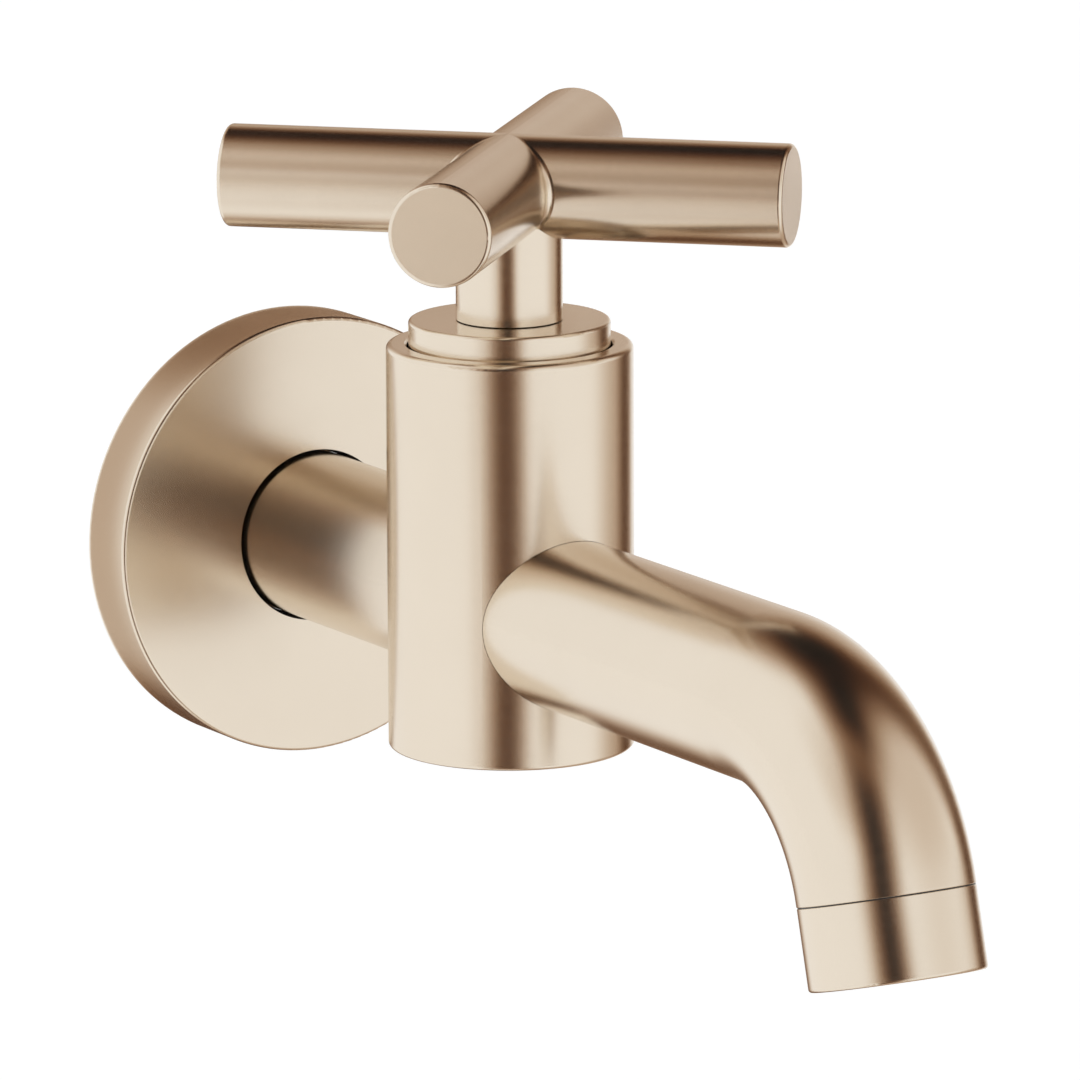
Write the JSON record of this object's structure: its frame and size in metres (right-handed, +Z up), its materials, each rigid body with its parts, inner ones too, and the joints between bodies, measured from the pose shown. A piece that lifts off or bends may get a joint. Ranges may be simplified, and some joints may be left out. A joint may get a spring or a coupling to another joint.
{
  "type": "wall-mounted basin tap",
  "caption": "Wall-mounted basin tap: round rosette, horizontal tube through an upright cylindrical valve with a turning cross handle, and a tubular spout bent down to an aerator.",
  "frame": {"origin": "centre of the rosette's back face in the plane of the wall, on the axis of the inlet thread", "axes": "+Y into the wall along the inlet thread, -Y out along the tubes, +Z up along the spindle, +X to the right for someone facing the wall"},
  "size_m": [0.058, 0.1651, 0.0888],
  "materials": {
    "champagne_bronze": "satin-brushed champagne bronze coating",
    "plain_brass": "turned, uncoated",
    "ceramic": "lapped",
    "rubber": "smooth",
    "foam": "closed-cell foam",
    "fibre": "pressed fibre",
    "white_plastic": "moulded",
    "steel": "stainless"
  },
  "bodies": {
    "tap": {"rosette": "champagne_bronze", "rosette_grip_ring": "rubber", "wall_seal": "foam", "wall_nipple": "plain_brass", "inlet_strainer": "steel", "nipple_rings": "rubber", "inlet_tube": "champagne_bronze", "tube_set_screw": "steel", "valve_body": "champagne_bronze", "spout_tube": "champagne_bronze", "aerator_ring": "champagne_bronze", "aerator_washer": "rubber", "aerator_insert": "white_plastic", "aerator_diffuser": "white_plastic", "aerator_filter": "steel", "seat_seal": "rubber", "fixed_disc": "ceramic", "headpart_housing": "plain_brass", "body_gasket": "fibre", "collar": "champagne_bronze"},
    "handle": {"spindle": "plain_brass", "spindle_rings": "rubber", "slide_washer": "white_plastic", "spindle_clip": "steel", "turning_disc": "ceramic", "handle_neck": "champagne_bronze", "handle_set_screw": "steel", "cross_bar": "champagne_bronze", "cross_arm_left": "champagne_bronze", "cross_arm_right": "champagne_bronze"}
  },
  "joints": [
    {"name": "handle_turn", "type": "hinge", "parent": "tap", "child": "handle", "pos_m": [0, -0.0561, 0.0517], "axis": [0, 0, 1], "range_deg": [0, 90]}
  ]
}
